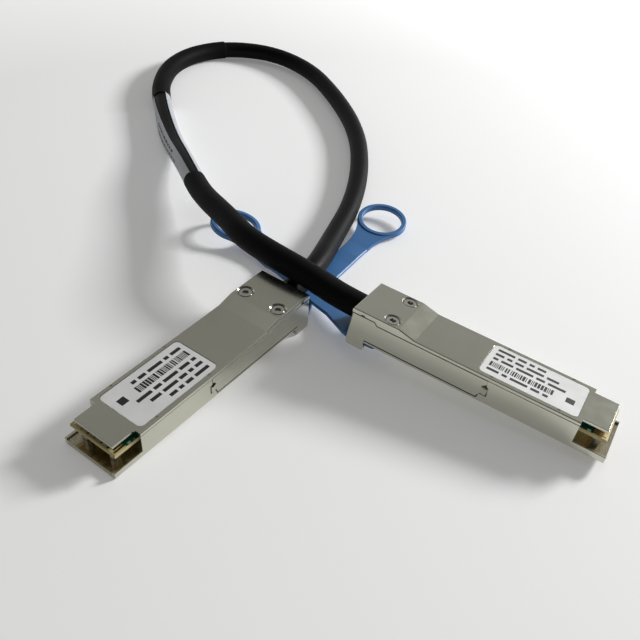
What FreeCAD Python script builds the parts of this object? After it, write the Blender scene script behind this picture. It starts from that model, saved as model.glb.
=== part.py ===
"""Direct attach copper cable: two pluggable quad-lane connectors on one twinax cable.

Each connector is a die-cast bottom shell and top cover that hold a paddle card, the
twinax pairs and a crimped shield. A stamped latch slide runs in lanes along both sides;
a pull tab with a finger ring draws it back against two return springs.

Millimetres. A connector is modelled in its own frame, with its nose at the origin:
+X from nose to tail, +Y across, +Z up, the underside of its body at Z = 0. It is then
placed as it lies on a table, which is the plane Z = 0 of the whole part.
"""
import math
import os

import FreeCAD, Part
from FreeCAD import Placement, Rotation, Vector

# ---------------------------------------------------------------- connector body
PLUG_LENGTH = 77.0          # nose to tail
BODY_WIDTH = 18.35
BODY_HEIGHT = 8.5
NOSE_LENGTH = 9.2           # open tray in front of the full-width body
COVER_SIDE = 1.1            # height of the cover's sides, down to the split line
HEAD_RISE = 1.3             # the head's top above the body's
HEAD_LENGTH = 14.4          # flat top of the head
RAMP_LENGTH = 5.2
WALL = 1.0                  # shell wall
COVER_CEILING = 0.65        # cover thickness over the card and the wires
LIP = (0.8, 1.0)            # thickness and depth of the cover's locating lip
FLOOR = 1.2                 # shell floor
EDGE_ROUND = 0.4            # cast edges
SEAM_ROUND = 0.18           # both edges of the split line

# nose: tray below, tongue above
TRAY_FLOOR = 1.5
TRAY_RIM_HEIGHT = 2.0
TRAY_RIM = 0.85
TONGUE_SETBACK = 2.2
TONGUE_WIDTH = 14.0
TONGUE_THICKNESS = 0.75
TONGUE_ROUND = 0.35

# head and rear, measured from the tail
STEP_FROM_TAIL = 7.2        # where the split line steps up
HEAD_STEP = 0.9
REAR_WALL = 2.2
CABLE_CLEARANCE = 0.1       # round the jacket in the rear wall
NOTCH_FROM_TAIL = 4.1       # pry notch in the cover's lower edge
NOTCH_SIZE = (1.2, 0.9)     # along the edge, and into the side
HEEL_RELIEF = 0.2           # underside of the shell above the slide and the tab

# label pocket and mould marks on the cover
LABEL_START = 10.7
LABEL_SIZE = (28.0, 15.2)
LABEL_CORNER = 1.3
LABEL_THICKNESS = 0.12
LABEL_POCKET = 0.2
LABEL_GAP = 0.2
EJECTOR_MARKS = (15.6, 34.6)
EJECTOR_MARK_RADIUS = 0.4

# ---------------------------------------------------------------- latch slide
LANE_FLOOR = 0.8            # ledge left below the lane
LANE_GAP = 0.1              # slide to lane
LANE_SLOT = 0.35            # open slot between the ledge and the slide's lower edge
SLIDE_SHEET = 0.8
SLIDE_TIP = 34.2            # nose of the release ramp
SLIDE_SHOULDER = 36.0       # front edge of the arm behind the ramp
CHANNEL_LENGTH = 5.6        # where the slide wraps under the head
SLIDE_DROP = 2.6            # channel below the body's underside
CHANNEL_CORNER = 1.2        # at the foot of the channel's rear edge
RAMP_KICK = 0.35            # how far the release ramp stands out

# return springs, one in each side wall
SPRING_FROM_TAIL = 21.0
SPRING_LENGTH = 11.0
SPRING_HEIGHT = 4.1
SPRING_COIL_RADIUS = 0.85
SPRING_WIRE_RADIUS = 0.17
SPRING_TURNS = 6
SPRING_STEPS = 8            # straight pieces in each turn
SPRING_GAP = 0.18           # round the coil in its pocket
TANG_THICKNESS = 0.8
TANG_GAP = 0.05

# ---------------------------------------------------------------- pull tab
TAB_THICKNESS = 1.3
TAB_ROOT_WIDTH = 14.6
TAB_ROOT_AHEAD = 3.0        # root plate in front of the slide's channel
TAB_ROOT_CORNER = 1.2
TAB_STRAP_WIDTH = 7.8
TAB_TAPER = 11.0            # root width to strap width
TAB_EDGE = 0.3              # bevel along the strap
STRAP_STEPS = 10            # sections of the strap past its taper
RING_OUTER = 8.8
RING_INNER = 7.1
RING_THICKNESS = 2.0
RING_ROUND = 0.4
FLARE_LENGTH = 17.0         # ring centre to where the strap starts to widen
TAB_KEY = (2.6, 3.0)        # keys that sit in windows of the slide
TAB_KEY_SPREAD = 4.6

# ---------------------------------------------------------------- card and wiring
CARD_FRONT = 1.6
CARD_LENGTH = 23.0
CARD_WIDTH = 16.2
CARD_THICKNESS = 1.0
CARD_HEIGHT = 5.35          # its underside
CARD_CHAMFER = 0.3
CARD_GAP = 0.075            # each side of the card in its bay
LEDGE_REACH = 1.1           # side ledges under the card
PAD_PITCH = 0.8
PAD_MARGIN = 0.5            # outer pads to the card's edges
PAD_WIDTH = 0.5
PAD_LENGTH = (3.6, 3.0)     # long and short rows alternate
PAD_THICKNESS = 0.06
POST_SIZE = (1.9, 1.8)      # support posts under the card's front corners
POST_PLACE = (3.0, 4.2)     # front edge, and inner edge from the middle plane
POST_GAP = 0.1              # under the contact pads
PAIR_COUNT = 4              # twinax pairs on each face of the card
PAIR_SIZE = (1.2, 0.76)     # a flat oval: width, height
PAIR_OVERLAP = 3.0          # length soldered to the card
PAIR_MARGIN = 3.0           # outer pairs to the card's edges
PAIR_PITCH_BRAID = 1.35
BRAID_LENGTH = 2.5          # bare shield ahead of the ferrule
FERRULE_WALL = 0.8
FERRULE_LENGTH = 5.5
FERRULE_FROM_TAIL = 5.5     # where the jacket butts against the ferrule
FERRULE_FLANGE = (0.2, 1.2)  # height, width
FERRULE_GAP = 0.05          # round the flange

# ---------------------------------------------------------------- cover screws
SCREW_FROM_TAIL = 11.2
SCREW_SPREAD = 6.15         # from the middle plane
SCREW_HEAD_RADIUS = 2.1
SCREW_HEAD_HEIGHT = 1.1
SCREW_SHANK_RADIUS = 0.9
SCREW_LENGTH = 6.0
SCREW_SINK = 0.25           # head below the cover
SCREW_GAP = 0.1
SINK_WIDTH = 0.4            # countersink round the head
STAR_RADIUS = 1.15
STAR_DEPTH = 0.6
SCREW_POST_RADIUS = 1.75

# ---------------------------------------------------------------- cable
CABLE_RADIUS = 3.6
EXIT_RUN = 6.5              # straight run behind a tail
SLEEVE_START = 243.0        # along the cable, from plug A's ferrule
SLEEVE_LENGTH = 78.0
SLEEVE_THICKNESS = 0.5
WRAP_START = 323.0
WRAP_LENGTH = 72.0
WRAP_THICKNESS = 0.3
JACKET_GAP = 0.03           # between the jacket and what is wrapped round it
WRAP_ARC = 285.0            # degrees of the jacket that the label covers
WRAP_GAP_FACING = 62.0      # degrees from the ground, where the label is open

# ---------------------------------------------------------------- as it lies
# a tail's place on the table, the nose's height, then heading, nose-down pitch and roll
PLUG_A = {"tail": (-22.83, 3.28), "nose": 0.0, "heading": 56.63, "pitch": 2.09, "roll": 0.0}
PLUG_B = {"tail": (0.15, -5.11), "nose": 1.28, "heading": 152.91, "pitch": 4.0, "roll": 8.0}
# a ring's centre, its rise away from the plug and its roll, then the strap's height
TAB_A = {"ring": (7.0, 57.4, 2.75), "rise": 6.0, "roll": 4.0, "rest": 0.72}
TAB_B = {"ring": (-44.0, 44.4, 3.5), "rise": 6.5, "roll": 8.5, "rest": 3.15}

# cable route from plug A's tail to plug B's, without the straight ends
ROUTE = [
    (-14.2, 19.8, 8.2), (-10.5, 38.0, 5.3), (-3.9, 65.5, 3.65), (-1.5, 95.0, 3.65),
    (-4.0, 125.0, 3.65), (-12.0, 155.0, 3.7), (-25.0, 183.0, 4.0), (-47.0, 200.0, 4.25),
    (-74.0, 199.5, 4.25), (-94.5, 181.5, 4.25), (-99.5, 155.0, 4.25), (-88.5, 127.0, 4.25),
    (-77.0, 99.5, 4.25), (-67.0, 75.0, 8.4), (-57.3, 52.8, 9.8), (-45.4, 33.9, 13.5),
    (-36.2, 17.7, 16.0), (-17.2, 3.9, 15.9),
]
ARC_SHARE = 0.45            # of the shorter run, at each bend

# ---------------------------------------------------------------- worked out from these
HEAD_TOP = BODY_HEIGHT + HEAD_RISE
JOINT_HEIGHT = BODY_HEIGHT - COVER_SIDE
REAR_JOINT = JOINT_HEIGHT + HEAD_STEP
RAMP_END = PLUG_LENGTH - HEAD_LENGTH
RAMP_START = RAMP_END - RAMP_LENGTH
HEAD_STEP_START = PLUG_LENGTH - STEP_FROM_TAIL
HALF = BODY_WIDTH / 2
LANE_FACE = HALF - SLIDE_SHEET - LANE_GAP
SLIDE_CHANNEL_START = PLUG_LENGTH - CHANNEL_LENGTH
HEEL_START = SLIDE_CHANNEL_START - TAB_ROOT_AHEAD - 2 * LANE_GAP
CARD_BAY_HALF = CARD_WIDTH / 2 + CARD_GAP
CARD_BAY_END = CARD_FRONT + CARD_LENGTH + 4
SPRING_REAR = PLUG_LENGTH - SPRING_FROM_TAIL
SPRING_FRONT = SPRING_REAR - SPRING_LENGTH
SPRING_BAY = (SPRING_FRONT - 1.5 * TANG_THICKNESS - WALL, SPRING_REAR + WALL)
SPRING_POCKET_HALF = SPRING_COIL_RADIUS + SPRING_WIRE_RADIUS + SPRING_GAP
PAIR_PITCH_CARD = (CARD_WIDTH - 2 * PAIR_MARGIN) / (PAIR_COUNT - 1)
SCREW_PLACE = (PLUG_LENGTH - SCREW_FROM_TAIL, SCREW_SPREAD)
CABLE_HEIGHT = HEAD_TOP / 2
FERRULE_END = PLUG_LENGTH - FERRULE_FROM_TAIL
FERRULE_START = FERRULE_END - FERRULE_LENGTH
FLANGE_RADIUS = CABLE_RADIUS + FERRULE_FLANGE[0]
BRAID_RADIUS = CABLE_RADIUS - FERRULE_WALL
UP = Vector(0, 0, 1)


# ---------------------------------------------------------------- small helpers
def box(x0, x1, y0, y1, z0, z1):
    return Part.makeBox(x1 - x0, y1 - y0, z1 - z0, Vector(x0, y0, z0))


def both_sides(shape):
    """The shape and its mirror image across the connector's middle plane."""
    return [shape, shape.mirror(Vector(), Vector(0, 1, 0))]


def side_prism(outline, y0, y1):
    """Extrudes an (x, z) outline across the connector."""
    points = [Vector(x, y0, z) for x, z in outline]
    face = Part.Face(Part.makePolygon(points + points[:1]))
    return face.extrude(Vector(0, y1 - y0, 0))


def rounded_plate(x0, length, width, z0, thickness, corner):
    """A plate centred on the connector's middle plane, with rounded corners."""
    plate = box(x0, x0 + length, -width / 2, width / 2, z0, z0 + thickness)
    upright = [e for e in plate.Edges if abs(e.tangentAt(e.FirstParameter).z) > 0.99]
    return plate.makeFillet(corner, upright)


def cylinder_x(radius, x0, x1, y=0.0, z=CABLE_HEIGHT):
    return Part.makeCylinder(radius, x1 - x0, Vector(x0, y, z), Vector(1, 0, 0))


def round_edges(shape, radius, test):
    """Fillets the edges whose centre and heading pass the test."""
    chosen = []
    for edge in shape.Edges:
        if test(edge.CenterOfMass, edge.tangentAt(edge.FirstParameter)):
            chosen.append(edge)
    return shape.makeFillet(radius, chosen)


def at_side(centre, heading):
    """An edge that runs lengthwise in one of the body's two side faces."""
    return abs(abs(centre.y) - HALF) < 0.01 and abs(heading.x) > 0.3


# ---------------------------------------------------------------- top cover
def cover_profile():
    """Side outline of the cover: tongue, flat, ramp and head, then the split line."""
    return [
        (NOSE_LENGTH, BODY_HEIGHT), (RAMP_START, BODY_HEIGHT), (RAMP_END, HEAD_TOP),
        (PLUG_LENGTH, HEAD_TOP), (PLUG_LENGTH, REAR_JOINT), (HEAD_STEP_START, REAR_JOINT),
        (HEAD_STEP_START - HEAD_STEP, JOINT_HEIGHT), (NOSE_LENGTH, JOINT_HEIGHT),
    ]


def tongue():
    """The cover's thin plate over the card, rounded at its front corners and edges."""
    plate = box(TONGUE_SETBACK, NOSE_LENGTH + 1, -TONGUE_WIDTH / 2, TONGUE_WIDTH / 2,
                BODY_HEIGHT - TONGUE_THICKNESS, BODY_HEIGHT)
    plate = round_edges(plate, TONGUE_ROUND,
                        lambda c, t: abs(c.x - TONGUE_SETBACK) < 0.01 and abs(t.z) > 0.9)
    rim = lambda c, t: c.z > BODY_HEIGHT - 0.01 and c.x < NOSE_LENGTH
    return round_edges(plate, SEAM_ROUND, rim)


def top_cover():
    cover = side_prism(cover_profile(), -HALF, HALF)
    rear_top = lambda c, t: c.x > PLUG_LENGTH - 0.01 and c.z > HEAD_TOP - 0.01
    cover = round_edges(cover, EDGE_ROUND, lambda c, t: rear_top(c, t)
                        or at_side(c, t) and c.z > BODY_HEIGHT - 0.01)
    cover = round_edges(cover, SEAM_ROUND,
                        lambda c, t: at_side(c, t) and c.z < REAR_JOINT + 0.01)
    cover = cover.fuse(tongue())

    # thinned over the card and wires, and hollow above the ferrule
    inside_half = SCREW_SPREAD - SCREW_POST_RADIUS - 0.2
    cavity_rear = PLUG_LENGTH - REAR_WALL
    thin_half = (PAIR_PITCH_CARD * (PAIR_COUNT - 1) + PAIR_SIZE[0]) / 2 + 0.3
    thin = BODY_HEIGHT - COVER_CEILING
    cover = cover.cut(box(NOSE_LENGTH + WALL, RAMP_START, -thin_half, thin_half, 0, thin))
    head_inside = CABLE_HEIGHT + FLANGE_RADIUS + 2 * FERRULE_GAP
    hollow = side_prism([(RAMP_START - 1, 0), (RAMP_START - 1, thin), (RAMP_START, thin),
                         (RAMP_END, head_inside), (cavity_rear, head_inside),
                         (cavity_rear, 0)], -inside_half, inside_half)
    cover = cover.cut(hollow)

    # locating lips inside the shell's side walls, and the rear wall over the cable
    lip_y = LANE_FACE - WALL - LANE_GAP
    lip = box(CARD_BAY_END + 1, SPRING_BAY[0] - 1, lip_y - LIP[0], lip_y,
              JOINT_HEIGHT - LIP[1], JOINT_HEIGHT + 0.1)
    cover = cover.fuse(both_sides(lip))
    rear = box(cavity_rear, PLUG_LENGTH, -LANE_FACE + LANE_GAP, LANE_FACE - LANE_GAP,
               CABLE_HEIGHT, REAR_JOINT + 0.1)
    cover = cover.fuse(rear)
    cover = cover.cut(cylinder_x(CABLE_RADIUS + CABLE_CLEARANCE, cavity_rear - 1, PLUG_LENGTH + 1))

    # label pocket, mould marks, and pry notches at the split line
    pocket = rounded_plate(LABEL_START - LABEL_GAP, LABEL_SIZE[0] + 2 * LABEL_GAP,
                           LABEL_SIZE[1] + 2 * LABEL_GAP, BODY_HEIGHT - LABEL_POCKET,
                           LABEL_POCKET + 1, LABEL_CORNER + LABEL_GAP)
    cover = cover.cut(pocket)
    for x in EJECTOR_MARKS:
        mark = Part.makeCylinder(EJECTOR_MARK_RADIUS, 1,
                                 Vector(x, HALF - 2.3 * EJECTOR_MARK_RADIUS, BODY_HEIGHT - 0.15))
        cover = cover.cut(both_sides(mark))
    notch_x = PLUG_LENGTH - NOTCH_FROM_TAIL
    notch = box(notch_x, notch_x + NOTCH_SIZE[0], HALF - NOTCH_SIZE[1], HALF + 1,
                JOINT_HEIGHT, REAR_JOINT + 0.5)
    cover = cover.cut(both_sides(notch))

    # screw holes, countersunk round the heads
    bore_radius = SCREW_HEAD_RADIUS + SCREW_GAP
    seat = HEAD_TOP - SCREW_SINK - SCREW_HEAD_HEIGHT - SCREW_GAP
    for y in (SCREW_SPREAD, -SCREW_SPREAD):
        centre = Vector(SCREW_PLACE[0], y, 0)
        hole = Part.makeCylinder(SCREW_SHANK_RADIUS + SCREW_GAP, HEAD_TOP, centre)
        bore = Part.makeCylinder(bore_radius, HEAD_TOP, centre + UP * seat)
        flare = Part.makeCone(bore_radius, bore_radius + SINK_WIDTH + 0.2, SINK_WIDTH + 0.2,
                              centre + UP * (HEAD_TOP - SINK_WIDTH))
        cover = cover.cut([hole, bore, flare])
    return cover


# ---------------------------------------------------------------- bottom shell
def bottom_shell():
    inner_rear = PLUG_LENGTH - REAR_WALL
    body = side_prism([(NOSE_LENGTH, 0), (HEEL_START, 0), (HEEL_START, HEEL_RELIEF),
                       (PLUG_LENGTH, HEEL_RELIEF), (PLUG_LENGTH, REAR_JOINT),
                       (HEAD_STEP_START, REAR_JOINT), (HEAD_STEP_START - HEAD_STEP, JOINT_HEIGHT),
                       (NOSE_LENGTH, JOINT_HEIGHT)], -HALF, HALF)
    upper = lambda c, t: at_side(c, t) and abs(c.z - JOINT_HEIGHT) < 0.01
    body = round_edges(body, SEAM_ROUND, upper)
    tray = box(0, NOSE_LENGTH + 1, -HALF, HALF, 0, TRAY_RIM_HEIGHT)
    tray = tray.cut(box(-1, NOSE_LENGTH + 2, -HALF + TRAY_RIM, HALF - TRAY_RIM,
                        TRAY_FLOOR, TRAY_RIM_HEIGHT + 1))
    body = body.fuse(tray).removeSplitter()
    body = round_edges(body, EDGE_ROUND, lambda c, t: at_side(c, t) and c.z < 0.01)
    rim = lambda c, t: at_side(c, t) and abs(c.z - TRAY_RIM_HEIGHT) < 0.01
    body = round_edges(body, SEAM_ROUND, rim)

    # card bay, wire bay, and a throat for the ferrule
    wire_half = LANE_FACE - WALL
    spring_half = LANE_FACE - 2 * SPRING_POCKET_HALF - 0.6
    throat_half = SCREW_SPREAD - SCREW_POST_RADIUS
    bays = [
        box(NOSE_LENGTH - 1, CARD_BAY_END, -CARD_BAY_HALF, CARD_BAY_HALF, TRAY_FLOOR, HEAD_TOP),
        box(CARD_BAY_END - 1, SPRING_BAY[0], -wire_half, wire_half, FLOOR, HEAD_TOP),
        box(SPRING_BAY[0] - 1, SPRING_BAY[1] + 1, -spring_half, spring_half, FLOOR, HEAD_TOP),
        box(SPRING_BAY[1], SCREW_PLACE[0] - SCREW_POST_RADIUS - 1, -wire_half, wire_half,
            FLOOR, HEAD_TOP),
        box(SCREW_PLACE[0] - SCREW_POST_RADIUS - 2, inner_rear, -throat_half, throat_half,
            CABLE_HEIGHT - FLANGE_RADIUS - FERRULE_GAP, HEAD_TOP),
    ]
    for bay in bays:
        body = body.cut(bay)
    body = body.cut(cylinder_x(CABLE_RADIUS + CABLE_CLEARANCE, inner_rear - 1, PLUG_LENGTH + 1))
    body = body.cut(box(inner_rear, PLUG_LENGTH + 1, -LANE_FACE, LANE_FACE, CABLE_HEIGHT, HEAD_TOP))

    # posts under the card, side ledges for it, and a saddle under the ferrule
    post = box(POST_PLACE[0], POST_PLACE[0] + POST_SIZE[0], POST_PLACE[1],
               POST_PLACE[1] + POST_SIZE[1], TRAY_FLOOR - 0.1,
               CARD_HEIGHT - PAD_THICKNESS - POST_GAP)
    ledge = box(NOSE_LENGTH + 2, CARD_FRONT + CARD_LENGTH, CARD_WIDTH / 2 - LEDGE_REACH,
                CARD_BAY_HALF + 0.1, FLOOR, CARD_HEIGHT)
    body = body.fuse(both_sides(post) + both_sides(ledge))
    saddle_x = FERRULE_START + FERRULE_FLANGE[1] + 0.2
    saddle = box(saddle_x, FERRULE_END, -throat_half - 0.1, throat_half + 0.1, FLOOR / 2,
                 CABLE_HEIGHT - 0.5)
    saddle = saddle.cut(cylinder_x(CABLE_RADIUS + 0.02, saddle_x - 1, FERRULE_END + 1))
    body = body.fuse(saddle)

    # screw holes
    for y in (SCREW_SPREAD, -SCREW_SPREAD):
        hole = Part.makeCylinder(SCREW_SHANK_RADIUS + 0.02, HEAD_TOP,
                                 Vector(SCREW_PLACE[0], y, HEAD_TOP - SCREW_SINK - SCREW_LENGTH - 0.3))
        body = body.cut(hole)

    # lane down each side, open at the tail; its front edge follows the slide's hook
    top = HEAD_TOP
    lane = side_prism([(SLIDE_TIP - 0.3, 2.4), (SLIDE_TIP - 0.3, 5.0), (SLIDE_TIP + 0.5, 5.6),
                       (SLIDE_TIP + 0.5, top), (PLUG_LENGTH + 1, top), (PLUG_LENGTH + 1, -1),
                       (SLIDE_CHANNEL_START - 0.1, -1), (SLIDE_CHANNEL_START - 0.1, LANE_FLOOR),
                       (SLIDE_SHOULDER + 0.4, LANE_FLOOR), (SLIDE_SHOULDER - 0.1, 2.4)],
                      LANE_FACE, HALF + 1)
    body = body.cut(both_sides(lane))

    # spring pockets, with room ahead of the spring for the slide's tang
    pocket = box(SPRING_FRONT - TANG_THICKNESS - TANG_GAP - 0.15, SPRING_REAR,
                 LANE_FACE - 2 * SPRING_POCKET_HALF, LANE_FACE + 1,
                 SPRING_HEIGHT - SPRING_POCKET_HALF, SPRING_HEIGHT + SPRING_POCKET_HALF)
    return body.cut(both_sides(pocket))


# ---------------------------------------------------------------- latch slide
def latch_slide():
    """Two arms in the side lanes, joined by a channel that wraps under the head."""
    inner = HALF - SLIDE_SHEET
    foot = LANE_FLOOR + LANE_SLOT
    top_front = JOINT_HEIGHT - LANE_GAP
    top_rear = REAR_JOINT - LANE_GAP
    arm = side_prism([(SLIDE_SHOULDER + 0.7, foot), (SLIDE_SHOULDER, 2.8),
                      (SLIDE_SHOULDER, 5.2),
                      (SLIDE_SHOULDER - 1.1, 5.9), (SLIDE_SHOULDER - 1.1, top_front),
                      (HEAD_STEP_START - HEAD_STEP + 0.05, top_front),
                      (HEAD_STEP_START + 0.05, top_rear), (PLUG_LENGTH, top_rear),
                      (PLUG_LENGTH, -SLIDE_DROP), (SLIDE_CHANNEL_START, -SLIDE_DROP),
                      (SLIDE_CHANNEL_START, foot)], inner, HALF)
    arm = round_edges(arm, SEAM_ROUND, lambda c, t: at_side(c, t) and c.z > JOINT_HEIGHT - 0.3)
    heel = lambda c, t: c.x > PLUG_LENGTH - 0.01 and c.z < -SLIDE_DROP + 0.01
    arm = round_edges(arm, CHANNEL_CORNER, heel)
    # release ramp: a short tooth ahead of the arm, kicked outwards
    ramp_outline = [(SLIDE_SHOULDER + 0.1, inner), (SLIDE_SHOULDER + 0.1, HALF),
                    (SLIDE_TIP + 0.5, HALF + RAMP_KICK), (SLIDE_TIP, HALF + RAMP_KICK - 0.25),
                    (SLIDE_TIP, inner)]
    points = [Vector(x, y, 2.8) for x, y in ramp_outline]
    ramp = Part.Face(Part.makePolygon(points + points[:1])).extrude(Vector(0, 0, 1.9))
    tang = box(SPRING_FRONT - TANG_THICKNESS - TANG_GAP, SPRING_FRONT - TANG_GAP,
               LANE_FACE - 2 * SPRING_POCKET_HALF + 0.3, inner + 0.1,
               SPRING_HEIGHT - SPRING_POCKET_HALF + 0.2, SPRING_HEIGHT + SPRING_POCKET_HALF - 0.2)
    side = arm.fuse([ramp, tang])
    bottom = box(SLIDE_CHANNEL_START, PLUG_LENGTH - CHANNEL_CORNER, -HALF, HALF, -SLIDE_DROP,
                 -SLIDE_DROP + SLIDE_SHEET)
    slide = bottom.fuse(both_sides(side)).removeSplitter()
    slide = round_edges(slide, 0.5, lambda c, t: at_side(c, t) and c.z < -SLIDE_DROP + 0.01)
    return slide.cut(tab_keys(0.05))


def tab_keys(gap):
    """Two keys that hold the tab's root in windows of the slide's channel."""
    middle = (SLIDE_CHANNEL_START + PLUG_LENGTH - CHANNEL_CORNER) / 2
    long, wide = TAB_KEY[0] / 2 + gap, TAB_KEY[1] / 2 + gap
    key = box(middle - long, middle + long, TAB_KEY_SPREAD - wide, TAB_KEY_SPREAD + wide,
              -SLIDE_DROP + 0.1 - gap * 4, -SLIDE_DROP + SLIDE_SHEET + 0.2)
    return both_sides(key)


# ---------------------------------------------------------------- return springs
def return_springs():
    """A compression spring in each side wall, between the slide's tang and the pocket end."""
    start = SPRING_FRONT + SPRING_WIRE_RADIUS + 0.05
    length = SPRING_REAR - start - SPRING_WIRE_RADIUS - 0.05
    y = LANE_FACE - SPRING_POCKET_HALF
    steps = SPRING_TURNS * SPRING_STEPS

    def on_coil(i):
        angle = 2 * math.pi * i / SPRING_STEPS
        return Vector(start + length * i / steps, y + SPRING_COIL_RADIUS * math.cos(angle),
                      SPRING_HEIGHT + SPRING_COIL_RADIUS * math.sin(angle))

    path = Part.makePolygon([on_coil(i) for i in range(steps + 1)])
    ahead = on_coil(1) - on_coil(0)
    outward = Vector(0, 1, 0)
    across = ahead.cross(outward).normalize()
    corners = []
    for i in range(4):
        angle = math.pi * i / 2
        corners.append(on_coil(0) + (outward * math.cos(angle) + across * math.sin(angle))
                       * SPRING_WIRE_RADIUS)
    section_wire = Part.makePolygon(corners + corners[:1])
    return both_sides(path.makePipeShell([section_wire], True, False, 1))


# ---------------------------------------------------------------- card and wiring
def paddle_card():
    card = box(CARD_FRONT, CARD_FRONT + CARD_LENGTH, -CARD_WIDTH / 2, CARD_WIDTH / 2,
               CARD_HEIGHT, CARD_HEIGHT + CARD_THICKNESS)
    front = [e for e in card.Edges if abs(e.CenterOfMass.x - CARD_FRONT) < 0.01
             and abs(e.CenterOfMass.y) < 0.01]
    return card.makeChamfer(CARD_CHAMFER, front)


def contact_pads():
    """Gold fingers on both faces of the card's front edge."""
    pads = []
    count = int((CARD_WIDTH - 2 * PAD_MARGIN) / PAD_PITCH + 1e-6)
    for i in range(count):
        y = (i - (count - 1) / 2) * PAD_PITCH
        length = PAD_LENGTH[0 if i % 3 == 0 else 1]
        x = CARD_FRONT + CARD_CHAMFER + 0.3 + PAD_LENGTH[0] - length
        for z in (CARD_HEIGHT - PAD_THICKNESS, CARD_HEIGHT + CARD_THICKNESS):
            pads.append(box(x, x + length, y - PAD_WIDTH / 2, y + PAD_WIDTH / 2, z, z + PAD_THICKNESS))
    return pads


def card_parts():
    """Memory chip and small chip resistors and capacitors on the card's upper face."""
    top = CARD_HEIGHT + CARD_THICKNESS
    beside_tongue = (CARD_WIDTH / 2 + TONGUE_WIDTH / 2) / 2 + 0.05
    places = [(6.3, beside_tongue), (6.3, -beside_tongue), (10.2, 6.3), (10.2, 5.0), (13.2, 3.6),
              (13.2, 4.6), (13.2, -3.6), (15.4, -3.6)]
    parts = [box(13.0, 16.0, -1.0, 1.0, top, top + 0.42)]
    for x, y in places:
        parts.append(box(x, x + 0.9, y - 0.25, y + 0.25, top, top + 0.35))
    return parts


def twinax_pairs():
    """The pairs, soldered to both faces of the card and gathered at the shield."""
    pairs = []
    card_rear = CARD_FRONT + CARD_LENGTH
    gathered = FERRULE_START - BRAID_LENGTH - 0.1
    wide, high = PAIR_SIZE[0] / 2, PAIR_SIZE[1] / 2
    oval = [(wide, 0), (wide - high / 2, high), (high / 2 - wide, high), (-wide, 0),
            (high / 2 - wide, -high), (wide - high / 2, -high)]
    for row in range(PAIR_COUNT):
        step = row - (PAIR_COUNT - 1) / 2
        for face in (1, -1):
            z = CARD_HEIGHT + CARD_THICKNESS / 2 + face * (CARD_THICKNESS / 2 + high)
            path = Part.makePolygon([
                Vector(card_rear - PAIR_OVERLAP, step * PAIR_PITCH_CARD, z),
                Vector(card_rear + 1, step * PAIR_PITCH_CARD, z),
                Vector(gathered - 6, step * PAIR_PITCH_BRAID, CABLE_HEIGHT + face * PAIR_PITCH_BRAID / 2),
                Vector(gathered, step * PAIR_PITCH_BRAID, CABLE_HEIGHT + face * PAIR_PITCH_BRAID / 2),
            ])
            start = path.Vertexes[0].Point
            corners = [start + Vector(0, y, up) for y, up in oval]
            outline = Part.makePolygon(corners + corners[:1])
            pairs.append(path.makePipeShell([outline], True, False, 1))
    return pairs


def shield_braid():
    front = FERRULE_START - BRAID_LENGTH
    braid = cylinder_x(BRAID_RADIUS, front, FERRULE_END)
    return braid.makeChamfer(0.5, [e for e in braid.Edges if abs(e.CenterOfMass.x - front) < 0.01])


def crimp_ferrule():
    flange = cylinder_x(FLANGE_RADIUS, FERRULE_START, FERRULE_START + FERRULE_FLANGE[1])
    ferrule = flange.fuse(cylinder_x(CABLE_RADIUS, FERRULE_START, FERRULE_END)).removeSplitter()
    return ferrule.cut(cylinder_x(BRAID_RADIUS, FERRULE_START - 1, FERRULE_END + 1))


# ---------------------------------------------------------------- screws and label
def star_prism(radius, depth):
    """A six-lobed drive recess."""
    lobes = 6
    points = []
    for i in range(2 * lobes):
        reach = radius if i % 2 == 0 else radius * 0.74
        angle = math.pi * i / lobes
        points.append(Vector(reach * math.cos(angle), reach * math.sin(angle), 0))
    return Part.Face(Part.makePolygon(points + points[:1])).extrude(UP * depth)


def cover_screws():
    head = Part.makeCylinder(SCREW_HEAD_RADIUS, SCREW_HEAD_HEIGHT)
    head = head.makeChamfer(0.25, [e for e in head.Edges if e.CenterOfMass.z > SCREW_HEAD_HEIGHT - 0.01
                                   and abs(e.CenterOfMass.x) < 0.01])
    shank = Part.makeCylinder(SCREW_SHANK_RADIUS, SCREW_LENGTH - SCREW_HEAD_HEIGHT + 0.1,
                              Vector(0, 0, SCREW_HEAD_HEIGHT - SCREW_LENGTH))
    screw = head.fuse(shank).removeSplitter()
    recess = star_prism(STAR_RADIUS, STAR_DEPTH + 1)
    recess.translate(UP * (SCREW_HEAD_HEIGHT - STAR_DEPTH))
    screw = screw.cut(recess)
    screw.translate(Vector(*SCREW_PLACE, HEAD_TOP - SCREW_SINK - SCREW_HEAD_HEIGHT))
    return both_sides(screw)


def plug_label():
    return rounded_plate(LABEL_START, LABEL_SIZE[0], LABEL_SIZE[1], BODY_HEIGHT - LABEL_POCKET,
                         LABEL_THICKNESS, LABEL_CORNER)


# ---------------------------------------------------------------- pull tab
def placement_of(plug):
    turn = (Rotation(UP, plug["heading"]) * Rotation(Vector(0, 1, 0), -plug["pitch"])
            * Rotation(Vector(1, 0, 0), plug["roll"]))
    nose = Vector(*plug["tail"], plug["nose"])
    back = turn.multVec(Vector(PLUG_LENGTH, 0, 0))
    return Placement(nose - Vector(back.x, back.y, 0), turn)


def section(place, width):
    """A bevelled rectangle of the strap's thickness, square to the placement's X axis."""
    w, t = width / 2, TAB_THICKNESS / 2
    outline = [(w, TAB_EDGE - t), (w, t - TAB_EDGE), (w - TAB_EDGE, t), (TAB_EDGE - w, t),
               (-w, t - TAB_EDGE), (-w, TAB_EDGE - t), (TAB_EDGE - w, -t), (w - TAB_EDGE, -t)]
    corners = [place.multVec(Vector(0, y, z)) for y, z in outline]
    return Part.makePolygon(corners + corners[:1])


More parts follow.
